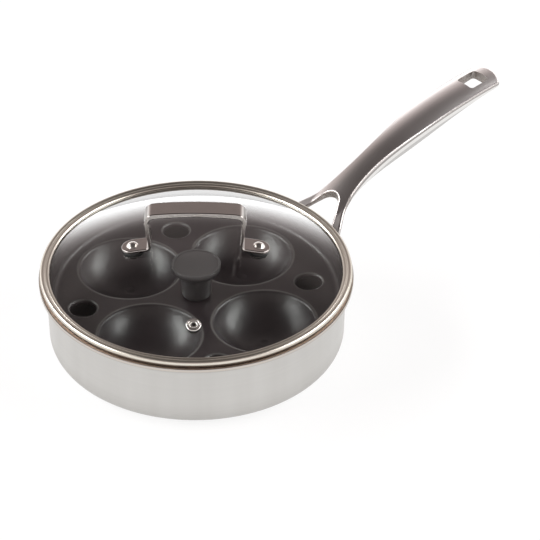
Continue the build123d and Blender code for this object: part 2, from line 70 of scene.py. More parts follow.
# The lid's dome, and where its fittings sit on it
BRIM_WIDTH = 4.2 * MM
BRIM_RISE = 4.0 * MM
BRIM_RADIUS = GLASS_HIGH.x - BRIM_WIDTH
DOME_RISE = GLASS_HIGH.z - GLASS_LOW.z - BRIM_RISE
DOME_RADIUS = (BRIM_RADIUS**2 + DOME_RISE**2) / (2 * DOME_RISE)
DOME_CENTRE = GLASS_HIGH.z - DOME_RADIUS
LID_TURN = math.radians(-43.7)
QUARTER = math.pi / 2
BOW_RIVET_REACH = 42.4 * MM
VENT_REACH = 75.5 * MM

# The tray's cups and steam holes, which share a pattern of four
CUP_TURN = math.radians(13.0)
CUP_REACH = 55.4 * MM
CUP_EDGE_RADIUS = 35.8 * MM
STEAM_HOLE_REACH = 77.8 * MM
HOLE_EDGE_RADIUS = 9.9 * MM

# Side view of the arc along the flat edges of the handle's top
HANDLE_ARC_X = 278.3 * MM
HANDLE_ARC_Z = -243.1 * MM
HANDLE_ARC_RADIUS = 331.5 * MM

# Where the handle's finish and its painted light and shade change: along it, back from its end, across it,
# and in depths below that arc
# Painted light and shade: the top runs from a darker root to a lighter grip
HANDLE_ROOT_X = 150 * MM
HANDLE_GRIP_X = 235 * MM
GAP_BACK = 150 * MM
GAP_HALF = 22 * MM
HOLE_BACK = 30 * MM
HOLE_FRONT = 8 * MM
HOLE_HALF = 8 * MM
# Painted shade: a dark line along the edge of the top
EDGE_DEPTH = 0.2 * MM
SIDE_DEPTHS = (1.6 * MM, 2.3 * MM)
# Painted shade: the lower part of the side is coloured darker
LOW_DEPTHS = (4.3 * MM, 5.1 * MM)

# Where the handle's top turns into its side, as the upward part of its normal, and what grain holds rust
STEEP_FADE = (0.75, 0.45)
RUST_FADE = (0.40, 0.60)

# Width and length of the wall's upright bands of painted sheen
UPRIGHT_WIDTH = 15 * MM
UPRIGHT_LENGTH = 160 * MM

# Where the painted shade at the wall's foot and lip changes, in heights above the pan's base
FOOT_SHADE_TOP = 22 * MM
LIP_SHADE_HEIGHTS = (44.5 * MM, 48.0 * MM)

# The trough inside the curled lip, with a warm tone of painted light and shade, and the streaks on the band
# over it, with painted shade where the band dips into the lip
TROUGH_HEIGHTS = (48.5 * MM, 49.5 * MM)
TROUGH_REACHES = (106.6 * MM, 106.2 * MM)
GAP_SHADE_HEIGHTS = (54.3 * MM, 53.4 * MM)
STREAK_FADE = (0.3, 0.7)

# Where the light ring on the edges of the tray's cups and holes fades, on each side of the edge: a little
# wear, mostly a painted highlight
CUP_WEAR_AND_HIGHLIGHT = (1.1 * MM, 0.3 * MM)
HOLE_WEAR_AND_HIGHLIGHT = (0.9 * MM, 0.3 * MM)

# How far under the knob's top its painted light fades
KNOB_TOP_LIGHT_FADE = (3.0 * MM, 1.5 * MM)

# Where the glass starts to mirror more, from 0 for a square view to 1 for a glance
SHEEN_FADE = (0.52, 0.74)

# Where the room's brightness changes, as the upward part of a direction
HORIZON_FADE = (0.05, 0.42)
HAZE_FADE = (0.56, 0.72)


# Shader maths
class Value:
    """A node's socket that adds Math nodes to its own tree when it is used in a sum."""

    def __init__(self, maker, socket):
        self.maker = maker
        self.socket = socket

    def math(self, operation, *values):
        """A Math node on any values, set to an operation."""
        return self.maker.node("ShaderNodeMath", {"operation": operation}, dict(enumerate(values)))

    def __add__(self, other):
        return self.math("ADD", self, other)

    def __radd__(self, other):
        return self.math("ADD", other, self)

    def __sub__(self, other):
        return self.math("SUBTRACT", self, other)

    def __rsub__(self, other):
        return self.math("SUBTRACT", other, self)

    def __mul__(self, other):
        return self.math("MULTIPLY", self, other)

    def __rmul__(self, other):
        return self.math("MULTIPLY", other, self)

    def __truediv__(self, other):
        return self.math("DIVIDE", self, other)

    def __gt__(self, other):
        return self.math("GREATER_THAN", self, other)

    def __lt__(self, other):
        return self.math("LESS_THAN", self, other)

    def size(self):
        """Its value without its sign."""
        return self.math("ABSOLUTE", self)


class Nodes:
    """Adds nodes to a tree and joins them to values, numbers and colours."""

    def __init__(self, tree):
        self.tree = tree
        tree.nodes.clear()

    def node(self, kind, settings=None, inputs=None, output=0):
        """One node: its settings first, then its sockets, and the output that is asked for."""
        made = self.tree.nodes.new(kind)
        for name, setting in (settings or {}).items():
            setattr(made, name, setting)
        for name, value in (inputs or {}).items():
            if isinstance(value, Value):
                self.tree.links.new(value.socket, made.inputs[name])
            else:
                made.inputs[name].default_value = value
        return Value(self, made.outputs[output])

    def noise(self, vector, scale, detail=2.0, roughness=0.5):
        """Grey noise from 0 to 1 at a scale in cycles per metre."""
        return self.node("ShaderNodeTexNoise", {}, {
            "Vector": vector, "Scale": scale, "Detail": detail, "Roughness": roughness})

    def between(self, value, low, high, to_low=0.0, to_high=1.0):
        """A value carried softly from one range to another, and held at its ends."""
        return self.node("ShaderNodeMapRange", {"interpolation_type": "SMOOTHSTEP"}, {
            "Value": value, "From Min": low, "From Max": high, "To Min": to_low, "To Max": to_high})

    def mixed(self, share, first, second):
        """A colour between two others."""
        made = self.tree.nodes.new("ShaderNodeMix")
        made.data_type = "RGBA"
        colours = [socket for socket in made.inputs if socket.type == "RGBA"]
        self.join(share, made.inputs[0])
        self.join(first, colours[0])
        self.join(second, colours[1])
        return Value(self, [socket for socket in made.outputs if socket.type == "RGBA"][0])

    def join(self, value, socket):
        """Links a value to a socket, or sets the socket to a number or a colour."""
        if isinstance(value, Value):
            self.tree.links.new(value.socket, socket)
        elif socket.type == "RGBA" and len(value) == 3:
            socket.default_value = (*value, 1.0)
        else:
            socket.default_value = value

    def vector(self, x, y, z):
        """A vector from its three parts."""
        return self.node("ShaderNodeCombineXYZ", {}, {"X": x, "Y": y, "Z": z})


class Finish(Nodes):
    """A material for one of the pan's surfaces."""

    def __init__(self, name):
        self.material = bpy.data.materials.new(name)
        self.material.use_nodes = True
        super().__init__(self.material.node_tree)
        self.place = self.node("ShaderNodeTexCoord", {}, {}, "Object")
        parts = [self.node("ShaderNodeSeparateXYZ", {}, {"Vector": self.place}, axis) for axis in "XYZ"]
        self.x, self.y, self.z = parts

    def surface(self, **sockets):
        """The usual shader, with each socket's value, and the way out."""
        named = {name.replace("_", " "): value for name, value in sockets.items()}
        shader = self.tree.nodes.new("ShaderNodeBsdfPrincipled")
        for name, value in named.items():
            self.join(value, shader.inputs[name])
        return self.out(Value(self, shader.outputs[0]))

    def out(self, shader):
        """Ends the tree with a shader, and gives the material."""
        end = self.tree.nodes.new("ShaderNodeOutputMaterial")
        self.tree.links.new(shader.socket, end.inputs["Surface"])
        return self.material

    def bump(self, height, distance):
        """A normal from a height that is 0 to 1, for a real depth."""
        return self.node("ShaderNodeBump", {}, {"Height": height, "Distance": distance, "Strength": 1.0})

    def length(self, x, y):
        """Length of a plane vector."""
        flat = self.vector(x, y, 0.0)
        return self.node("ShaderNodeVectorMath", {"operation": "LENGTH"}, {0: flat}, "Value")

    def reach(self):
        """Distance from the pan's axis."""
        return self.length(self.x, self.y)

    def round_brushing(self, pitch, wander=6.0):
        """Streaks that run round the pan's axis, at a pitch across them."""
        angle = self.y.math("ARCTAN2", self.y, self.x)
        across = self.vector(self.reach() / pitch, self.z / pitch, angle * wander)
        return self.noise(across, scale=1.0, detail=3.0)


# Finishes
def pan_wall_finish(look):
    """Satin steel, brushed round the wall, with soft upright bands of painted sheen, and painted shade that
    darkens its foot and lip.
    """
    made = Finish("pan_wall_steel")
    fine = made.round_brushing(pitch=0.35 * MM, wander=9.0)
    rings = made.round_brushing(pitch=2.6 * MM, wander=0.8)
    upright = made.vector(made.x / UPRIGHT_WIDTH, made.y / UPRIGHT_WIDTH, made.z / UPRIGHT_LENGTH)
    # Painted sheen: soft lighter and darker bands up the wall
    upright_painted_sheen = made.noise(upright, scale=1.0, detail=2.0)
    # Painted shade: the wall is coloured darker towards its foot and at its lip
    foot = made.between(made.z, 0.0, FOOT_SHADE_TOP, 1.0, 0.0)
    lip = made.between(made.z, *LIP_SHADE_HEIGHTS)
    share = 0.40 + upright_painted_sheen * 0.40 + rings * 0.22 - foot * 0.42 - lip * 0.60
    colour = made.mixed(share, tuple(look.wall_dark), tuple(look.wall_light))
    rough = 0.34 + fine * 0.10 + rings * 0.05
    return made.surface(Base_Color=colour, Metallic=1.0, Roughness=rough,
                        Normal=made.bump(fine, distance=0.006 * MM))


def pan_inside_finish(look):
    """Satin steel inside the pan, finely brushed round it, with a warm tone of painted light and shade in
    the lip's trough.
    """
    made = Finish("pan_inside_steel")
    fine = made.round_brushing(pitch=0.5 * MM, wander=5.0)
    clean = made.mixed(fine, tuple(look.wall_dark), tuple(look.wall_light))
    # Painted light and shade: a warm light tone painted into the trough inside the lip
    trough = made.between(made.z, *TROUGH_HEIGHTS) * made.between(made.reach(), *TROUGH_REACHES)
    colour = made.mixed(trough, clean, tuple(look.trough_painted_light_and_shade))
    return made.surface(Base_Color=colour, Metallic=1.0, Roughness=0.30 + fine * 0.12,
                        Normal=made.bump(fine, distance=0.005 * MM))


def core_finish():
    """Dull aluminium, seen only as a line at the pan's edge."""
    made = Finish("pan_core_aluminium")
    fine = made.round_brushing(pitch=0.4 * MM)
    dark = (0.52, 0.47, 0.42)
    light = (0.68, 0.63, 0.58)
    colour = made.mixed(fine, dark, light)
    return made.surface(Base_Color=colour, Metallic=1.0, Roughness=0.4 + fine * 0.1)


def polished_finish(name, light, dark, rough):
    """Polished steel with a faint cloudiness from buffing."""
    made = Finish(name)
    cloud = made.noise(made.place, scale=90.0, detail=3.0)
    scratches = made.noise(made.place, scale=900.0, detail=2.0)
    colour = made.mixed(cloud, dark, light)
    return made.surface(Base_Color=colour, Metallic=1.0, Roughness=rough + cloud * 0.06 + scratches * 0.03,
                        Normal=made.bump(scratches, distance=0.004 * MM))


def band_finish(look):
    """Rolled steel with streaks round it, coloured darker with painted shade where it dips into the pan's
    lip.
    """
    made = Finish("band_steel")
    streaks = made.round_brushing(pitch=0.5 * MM, wander=1.4)
    fine = made.round_brushing(pitch=0.12 * MM, wander=4.0)
    clean = made.mixed(made.between(streaks, *STREAK_FADE), tuple(look.band_dark), tuple(look.band_light))
    # Painted shade: the band is coloured darker low down, where it dips into the lip
    gap_painted_shade = made.between(made.z, *GAP_SHADE_HEIGHTS)
    colour = made.mixed(gap_painted_shade, clean, tuple(look.band_gap_painted_shade))
    return made.surface(Base_Color=colour, Metallic=1.0, Roughness=0.27 + streaks * 0.10 + gap_painted_shade * 0.15,
                        Normal=made.bump(fine, distance=0.004 * MM))


def handle_finish(look):
    """Cast steel: its top is polished, its sides are satin, and its gaps keep the cast grain. Painted light
    and shade run along the top, along its edge and low on its sides.
    """
    made = Finish("handle_cast_steel")
    normal = made.node("ShaderNodeTexCoord", {}, {}, "Normal")
    up = made.node("ShaderNodeSeparateXYZ", {}, {"Vector": normal}, "Z")
    depth = HANDLE_ARC_RADIUS - made.length(made.x - HANDLE_ARC_X, made.z - HANDLE_ARC_Z)
    steep = made.between(up, *STEEP_FADE)
    low = made.between(depth, *LOW_DEPTHS)
    cloud = made.noise(made.place, scale=60.0, detail=3.0)
    grain = made.noise(made.place, scale=1500.0, detail=4.0, roughness=0.6)
    end = HANDLE_HIGH.x
    across = made.y.size()
    in_gap = (made.x < end - GAP_BACK) * (across < GAP_HALF)
    in_hole = (made.x > end - HOLE_BACK) * (across < HOLE_HALF) * (made.x < end - HOLE_FRONT)
    inside = made.between(in_gap + in_hole, 0.0, 1.0)
    below_edge = made.between(depth, *SIDE_DEPTHS)
    side = steep * inside.math("MAXIMUM", inside, below_edge)
    cast = side * inside
    # Painted shade: a dark line along the edge of the top
    edge = made.between(depth, -EDGE_DEPTH, EDGE_DEPTH) * (1.0 - below_edge) * (1.0 - inside)
    # Painted light and shade: the top's colour runs from a darker root to a lighter grip
    light = made.between(made.x, HANDLE_ROOT_X, HANDLE_GRIP_X)
    top = made.mixed(light, tuple(look.handle_root_painted_shade), tuple(look.handle_top_painted_light))
    top = made.mixed(edge, top, tuple(look.handle_edge_painted_shade))
    # Painted shade: the lower part of the side is coloured darker
    satin = made.mixed(low, tuple(look.handle_side), tuple(look.handle_low_painted_shade))
    satin = made.mixed(inside, satin, tuple(look.handle_gap))
    rusty = cast * made.between(grain, *RUST_FADE)
    colour = made.mixed(rusty, made.mixed(side, top, satin), tuple(look.handle_rust))
    rough = 0.32 + cloud * 0.04 + edge * 0.2 + cast * grain * 0.25
    bump = made.bump(grain * cast + grain * side * 0.15, distance=0.12 * MM)
    return made.surface(Base_Color=colour, Metallic=1.0, Roughness=rough, Normal=bump)


def tray_finish(look):
    """Dark non-stick coating with a fine sparkle in its sheen, and a light ring on the edges of cups and
    holes: a little wear, mostly a painted highlight.
    """
    made = Finish("tray_coating")
    speck = made.noise(made.place, scale=1400.0, detail=2.0, roughness=0.6)
    cloud = made.noise(made.place, scale=120.0, detail=3.0)
    across = math.cos(CUP_TURN)
    along = math.sin(CUP_TURN)
    first = (made.x * across + made.y * along).size()
    second = (made.y * across - made.x * along).size()
    far = first.math("MAXIMUM", first, second)
    near = first.math("MINIMUM", first, second)
    hole = STEAM_HOLE_REACH / math.sqrt(2)
    cup_edge = (made.length(far - CUP_REACH, near) - CUP_EDGE_RADIUS).size()
    hole_edge = (made.length(far - hole, near - hole) - HOLE_EDGE_RADIUS).size()
    # Painted highlight with a little wear: a light ring on the rounded edges of the cups and holes
    worn_and_highlight = made.between(cup_edge, *CUP_WEAR_AND_HIGHLIGHT) + made.between(hole_edge, *HOLE_WEAR_AND_HIGHLIGHT)
    plain = made.mixed(cloud, tuple(look.tray_dark), tuple(look.tray_light))
    colour = made.mixed(worn_and_highlight * (0.6 + speck * 0.6), plain, tuple(look.tray_worn_and_highlight))
    rough = 0.30 + speck * 0.10
    return made.surface(Base_Color=colour, Roughness=rough, IOR=1.55, Specular_IOR_Level=0.7,
                        Normal=made.bump(speck, distance=0.07 * MM))


def knob_finish(look):
    """Black moulded plastic with a fine matt grain, its top coloured lighter as painted light."""
    made = Finish("knob_plastic")
    grain = made.noise(made.place, scale=2200.0, detail=3.0, roughness=0.6)
    cloud = made.noise(made.place, scale=150.0, detail=2.0)
    # Painted light: the knob's top is coloured lighter than its stem
    top = made.between(made.z, *[KNOB_HIGH.z - fade for fade in KNOB_TOP_LIGHT_FADE])
    stem = made.mixed(cloud, tuple(look.knob_dark), tuple(look.knob_light))
    colour = made.mixed(top, stem, tuple(look.knob_top_painted_light))
    return made.surface(Base_Color=colour, Roughness=0.27 + grain * 0.12,
                        Normal=made.bump(grain, distance=0.03 * MM))


def glass_finish(look):
    """Clear tempered glass: it bends what is seen through it, and mirrors more at a glance."""
    made = Finish("lid_clear_glass")
    smear = made.noise(made.place, scale=40.0, detail=2.0)
    gloss = made.node("ShaderNodeBsdfAnisotropic", {"distribution": "GGX"}, {
        "Color": (1.0, 1.0, 1.0, 1.0), "Roughness": 0.02 + smear * 0.02})
    clear = made.node("ShaderNodeBsdfTransparent", {}, {"Color": (*look.glass_tint, 1.0)})
    bent = made.node("ShaderNodeBsdfRefraction", {}, {
        "Color": (*look.glass_tint, 1.0), "Roughness": 0.0, "IOR": look.glass_index})
    rays = [made.node("ShaderNodeLightPath", {}, {}, name)
            for name in ("Is Shadow Ray", "Is Diffuse Ray", "Is Glossy Ray", "Is Transmission Ray")]
    # Bent rays count as glossy too, so only the glossy ones that aren't bent pass straight through
    straight = rays[0] + rays[1] + rays[2] * (1.0 - rays[3])
    through = made.node("ShaderNodeMixShader", {}, {0: straight, 1: bent, 2: clear})
    facing = made.node("ShaderNodeLayerWeight", {}, {"Blend": 0.5}, "Facing")
    glance = facing.math("POWER", facing, look.glass_glance)
    sheen = made.between(facing, *SHEEN_FADE) * look.glass_sheen
    mirrored = look.glass_mirror + glance * (1.0 - look.glass_mirror) + sheen
    mix = made.node("ShaderNodeMixShader", {}, {0: mirrored, 1: through, 2: gloss})
    return made.out(mix)


def rubber_finish():
    """Dark rubber of the gaskets."""
    made = Finish("gasket_rubber")
    grain = made.noise(made.place, scale=1800.0, detail=2.0)
    dark = (0.012, 0.012, 0.012)
    light = (0.035, 0.034, 0.033)
    colour = made.mixed(grain, dark, light)
    return made.surface(Base_Color=colour, Roughness=0.45 + grain * 0.15,
                        Normal=made.bump(grain, distance=0.02 * MM))


def brass_finish():
    """Turned brass of the knob's insert."""
    made = Finish("insert_brass")
    rings = made.round_brushing(pitch=0.3 * MM, wander=2.0)
    dark = (0.60, 0.42, 0.16)
    light = (0.80, 0.60, 0.28)
    colour = made.mixed(rings, dark, light)
    return made.surface(Base_Color=colour, Metallic=1.0, Roughness=0.25 + rings * 0.1)


# Sections of turned pieces, as points of (radius, height)
def bend(centre, radius, start, end, steps=10):
    """Points on an arc from one angle to another, in degrees."""
    points = []
    for step in range(steps + 1):
        angle = math.radians(start + (end - start) * step / steps)
        points.append((centre[0] + radius * math.cos(angle), centre[1] + radius * math.sin(angle)))
    return points


def knob_section(sizes):
    """The knob from its foot's centre, up its stem and round its cap to the dish's centre."""
    low = KNOB_LOW.z
    high = KNOB_HIGH.z
    cap = KNOB_HIGH.x
    foot_round = sizes.knob_foot_round
    flare = sizes.knob_flare
    lip = sizes.knob_lip
    under = high - sizes.knob_cap_depth
    foot = sizes.knob_foot
    stem = sizes.knob_stem
    points = [(0.0, low), (foot - foot_round, low)]
    points += bend((foot - foot_round, low + foot_round), foot_round, start=-90, end=0)
    points += bend((stem + flare, under - flare), flare, start=180, end=105)
    belly = (high - under) / 2
    points += bend((cap - belly, under + belly), belly, start=-70, end=0)
    points += bend((cap - lip, high - lip), lip, start=10, end=140)
    dish = high - sizes.knob_dish
    edge = cap - sizes.knob_rim
    points += [(edge, dish + sizes.knob_dish_step), (edge - sizes.knob_dish_slope, dish), (0.0, dish)]
    return points


def band_section(sizes):
    """The rolled rim band: bead outside, rounded flange on the glass, seat below."""
    bead = sizes.band_bead
    centre = (BAND_HIGH.x - bead, BAND_HIGH.z - bead)
    flange_top = sizes.band_flange + GLASS_LOW.z + BRIM_RISE
    inner = GLASS_HIGH.x - sizes.band_flange_width
    glass_edge = GLASS_HIGH.x
    skirt = glass_edge - sizes.band_skirt_width
    low = BAND_LOW.z
    crown = sizes.band_crown
    sunk = flange_top - sizes.band_flange - sizes.band_crown_sink
    points = bend((inner + crown, sunk), crown, start=163, end=52)
    points += bend(centre, bead, start=132, end=-80, steps=22)
    seat = (PAN_HIGH.x, sizes.seat_height)
    points += bend(seat, sizes.seat_radius, 180 - sizes.seat_outer, 180 - sizes.seat_inner, steps=8)
    points += [(skirt, low), (skirt, GLASS_LOW.z), (glass_edge, GLASS_LOW.z),
               (glass_edge, GLASS_LOW.z + BRIM_RISE)]
    return points


def rivet_section(head, rise, shank, low, high):
    """A domed rivet head on a shank, with a small set-down edge."""
    set_down = 0.97
    sphere = (head**2 + rise**2) / (2 * rise)
    spread = math.degrees(math.asin(head / sphere)) * set_down
    points = [(0.0, low), (shank, low), (shank, high), (head * set_down, high)]
    points += bend((0.0, high + rise - sphere), sphere, start=90 - spread, end=90, steps=12)
    return points


def eyelet_section(sizes):
    """The vent's rolled eyelet, from its bore's foot round its flange."""
    bore = sizes.vent_bore
    top = sizes.vent_height
    lip = sizes.vent_lip
    rim = sizes.vent_rim
    under = -sizes.glass_thickness
    low = under - sizes.vent_roll_depth
    points = [(bore, low)]
    points += bend((bore + lip, top - lip), lip, start=180, end=-20, steps=8)
    points += bend((sizes.vent_flange - rim, top - sizes.vent_rim_drop - rim), rim, start=165, end=-60)
    points += [(sizes.vent_tube, sizes.vent_tube_top), (sizes.vent_tube, under),
               (sizes.vent_roll, under), (sizes.vent_roll_foot, low)]
    return points


# Geometry Nodes: a section turned about its axis, and set round the lid's dome
class Shapes(Nodes):
    """A Geometry Nodes tree with named inputs."""

    def __init__(self, name, inputs):
        tree = bpy.data.node_groups.new(name, "GeometryNodeTree")
        super().__init__(tree)
        tree.interface.new_socket("Geometry", in_out="INPUT", socket_type="NodeSocketGeometry")
        tree.interface.new_socket("Geometry", in_out="OUTPUT", socket_type="NodeSocketGeometry")
        for label, kind in inputs:
            tree.interface.new_socket(label, in_out="INPUT", socket_type=kind)
        self.start = tree.nodes.new("NodeGroupInput")

    def given(self, label):
        """One of the tree's named inputs."""
        return Value(self, self.start.outputs[label])

    def end(self, geometry):
        """Ends the tree with its geometry, and gives the tree."""
        out = self.tree.nodes.new("NodeGroupOutput")
        self.tree.links.new(geometry.socket, out.inputs[0])
        return self.tree


def turned_tree():
    """A section turned about +Z, then copied to places spaced round a dome."""
    made = Shapes("Turned on a dome", [
        ("Steps", "NodeSocketInt"), ("Count", "NodeSocketInt"), ("Reach", "NodeSocketFloat"),
        ("Turn", "NodeSocketFloat"), ("Dome radius", "NodeSocketFloat"), ("Dome centre", "NodeSocketFloat"),
        ("Material", "NodeSocketMaterial")])
    section = made.node("GeometryNodeMeshToCurve", {}, {0: made.given("Geometry")})
    position = made.node("GeometryNodeInputPosition")
    radius = made.node("ShaderNodeSeparateXYZ", {}, {0: position}, "X")
    height = made.node("ShaderNodeSeparateXYZ", {}, {0: position}, "Z")
    # The section is carried round a small ring, so its radius is counted from that ring
    hub = 1.0 * MM
    flat = made.vector(radius - hub, 0.0 - height, 0.0)
    section = made.node("GeometryNodeSetPosition", {}, {"Geometry": section, "Position": flat})
    ring = made.node("GeometryNodeCurvePrimitiveCircle", {}, {
        "Resolution": made.given("Steps"), "Radius": hub})
    solid = made.node("GeometryNodeCurveToMesh", {}, {"Curve": ring, "Profile Curve": section})
    weld = 0.001 * MM
    solid = made.node("GeometryNodeMergeByDistance", {}, {"Geometry": solid, "Distance": weld})
    index = made.node("GeometryNodeInputIndex")
    angle = made.given("Turn") + index * (2 * math.pi) / made.given("Count")
    reach = made.given("Reach")
    across = reach * angle.math("COSINE", angle)
    along = reach * angle.math("SINE", angle)
    dome = made.given("Dome radius")
    squared = dome * dome - reach * reach
    rise = squared.math("SQRT", squared)
    normal = made.vector(across, along, rise)
    place = made.vector(across, along, rise + made.given("Dome centre"))
    points = made.node("GeometryNodePoints", {}, {"Count": made.given("Count"), "Position": place})
    lean = made.node("FunctionNodeAlignRotationToVector", {"axis": "Z"}, {"Vector": normal})
    copies = made.node("GeometryNodeInstanceOnPoints", {}, {
        "Points": points, "Instance": solid, "Rotation": lean})
    whole = made.node("GeometryNodeRealizeInstances", {}, {0: copies})
    painted = made.node("GeometryNodeSetMaterial", {}, {
        "Geometry": whole, "Material": made.given("Material")})
    return made.end(painted)


def turned(name, section, closed, material, body, replaced, steps, count=1, reach=0.0,
           turn=0.0, on_dome=False):
    """A turned piece from its section, on the axis or round the dome, as a plain mesh."""
    tree = bpy.data.node_groups.get("Turned on a dome") or turned_tree()
    outline = bpy.data.meshes.new(name + "_section")
    edges = [(i, i + 1) for i in range(len(section) - 1)]
    if closed:
        edges.append((len(section) - 1, 0))
    outline.from_pydata([(r, 0.0, z) for r, z in section], edges, [])
    holder = bpy.data.objects.new(name + "_holder", outline)
    bpy.context.scene.collection.objects.link(holder)
    # A piece on the axis sits on top of a dome whose top is the origin
    dome_centre = DOME_CENTRE if on_dome else -DOME_RADIUS
    turning = holder.modifiers.new("turning", "NODES")
    turning.node_group = tree
    values = {"Steps": steps, "Count": count, "Reach": reach, "Turn": turn, "Material": material,
              "Dome radius": DOME_RADIUS, "Dome centre": dome_centre}
    for socket in tree.interface.items_tree:
        if socket.in_out == "INPUT" and socket.name in values:
            turning[socket.identifier] = values[socket.name]
    depsgraph = bpy.context.evaluated_depsgraph_get()
    mesh = bpy.data.meshes.new_from_object(holder.evaluated_get(depsgraph))
    bpy.data.objects.remove(holder)
    mesh.name = name
    mesh.materials.clear()
    mesh.materials.append(material)
    face_outwards(mesh)
    mesh.shade_smooth()
    mesh.set_sharp_from_angle(angle=SHARP_ANGLE)
    piece = bpy.data.objects.new(name, mesh)
    bpy.context.scene.collection.objects.link(piece)
    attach(piece, body)
    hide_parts(replaced)
    return piece


def face_outwards(mesh):
    """Turns every face of closed shells outwards."""
    work = bmesh.new()
    work.from_mesh(mesh)
    bmesh.ops.recalc_face_normals(work, faces=work.faces)
    work.to_mesh(mesh)
    work.free()


def paint(material, *names):
    """Gives a material to nodes of the frame."""
    for name in names:
        for slot in nodes[name].material_slots:
            slot.material = material


# Settings that a user would change
def length_property(name, description, default):
    """A length in metres."""
    return FloatProperty(name=name, description=description, default=default, unit="LENGTH")


def colour_property(name, description, default):
    """A colour in linear red, green and blue."""
    return FloatVectorProperty(name=name, description=description, default=default, subtype="COLOR")


class PanSizes(bpy.types.PropertyGroup):
    """Sizes of the pieces that are turned here."""

    knob_foot: length_property("Knob foot", "Radius of the knob's foot", 10.0 * MM)
    knob_foot_round: length_property("Foot round", "Rounding under the knob's foot", 3.0 * MM)
    knob_stem: length_property("Knob stem", "Radius of the stem under the cap", 10.7 * MM)
    knob_flare: length_property("Knob flare", "Radius between stem and cap", 4.3 * MM)
    knob_cap_depth: length_property("Cap depth", "Depth of the cap's edge", 5.5 * MM)
    knob_lip: length_property("Cap lip", "Rounding of the cap's raised lip", 0.9 * MM)
    knob_rim: length_property("Cap rim", "Width of the lip round the dish", 1.7 * MM)
    knob_dish: length_property("Dish depth", "Depth of the dished top", 0.8 * MM)
    knob_dish_step: length_property("Dish step", "Rise of the dish's edge", 0.1 * MM)
    knob_dish_slope: length_property("Dish slope", "Width of the dish's sloping edge", 1.0 * MM)
    band_bead: length_property("Band bead", "Radius of the rim band's rolled bead", 2.1 * MM)
    band_flange: length_property("Band flange", "Thickness of the flange on the glass", 0.7 * MM)
    band_crown: length_property("Band crown", "Radius of the rounded flange on the glass", 1.75 * MM)
    band_crown_sink: length_property("Crown sink", "Depth of the crown's centre in the glass", 0.5 * MM)
    band_flange_width: length_property("Flange width", "Width of the flange on the glass", 3.6 * MM)
    band_skirt_width: length_property("Skirt width", "Width of the band under the glass", 2.3 * MM)
    seat_height: length_property("Seat height", "Height of the lip curl's centre", 44.1 * MM)
    seat_radius: length_property("Seat radius", "Radius of the band's seat in the lip", 7.6 * MM)
    seat_outer: FloatProperty(name="Seat outer angle", description="Where the seat starts, in degrees",
                              default=64.0)
    seat_inner: FloatProperty(name="Seat inner angle", description="Where the seat ends, in degrees",
                              default=46.0)
    glass_thickness: length_property("Glass", "Thickness of the lid's glass", 4.0 * MM)
    gasket: length_property("Gasket", "Thickness of the gasket under each tab of the bow", 1.2 * MM)
    tab: length_property("Tab", "Thickness of each tab of the bow", 2.1 * MM)
    rivet_head: length_property("Rivet head", "Radius of a rivet's domed head", 4.1 * MM)
    rivet_rise: length_property("Rivet rise", "Height of a rivet's domed head", 2.2 * MM)
    rivet_shank: length_property("Rivet shank", "Radius of a rivet's shank", 2.0 * MM)
    rivet_depth: length_property("Rivet depth", "Depth of a rivet's end under the glass top", 7.4 * MM)
    vent_bore: length_property("Vent bore", "Radius of the vent's bore", 1.75 * MM)
    vent_flange: length_property("Vent flange", "Radius of the eyelet's flange", 5.2 * MM)
    vent_tube: length_property("Vent tube", "Outer radius of the eyelet's tube", 3.0 * MM)
    vent_tube_top: length_property("Tube top", "Height of the tube's end under the flange", 0.1 * MM)
    vent_height: length_property("Vent height", "Rise of the eyelet above the glass", 1.8 * MM)
    vent_lip: length_property("Vent lip", "Rounding of the eyelet's inner lip", 0.55 * MM)
    vent_rim: length_property("Vent rim", "Rounding of the eyelet's outer rim", 0.9 * MM)
    vent_rim_drop: length_property("Rim drop", "Drop of the outer rim below the inner lip", 0.3 * MM)
    vent_roll: length_property("Vent roll", "Radius of the roll under the glass", 4.4 * MM)
    vent_roll_foot: length_property("Roll foot", "Radius of the roll's lower edge", 4.2 * MM)
    vent_roll_depth: length_property("Roll depth", "Height of the roll under the glass", 0.9 * MM)
    steps: IntProperty(name="Steps", description="Steps round the large turned pieces", default=256, min=24)
    small_steps: IntProperty(name="Small steps", description="Steps round the rivets and the vent",
                             default=64, min=12)


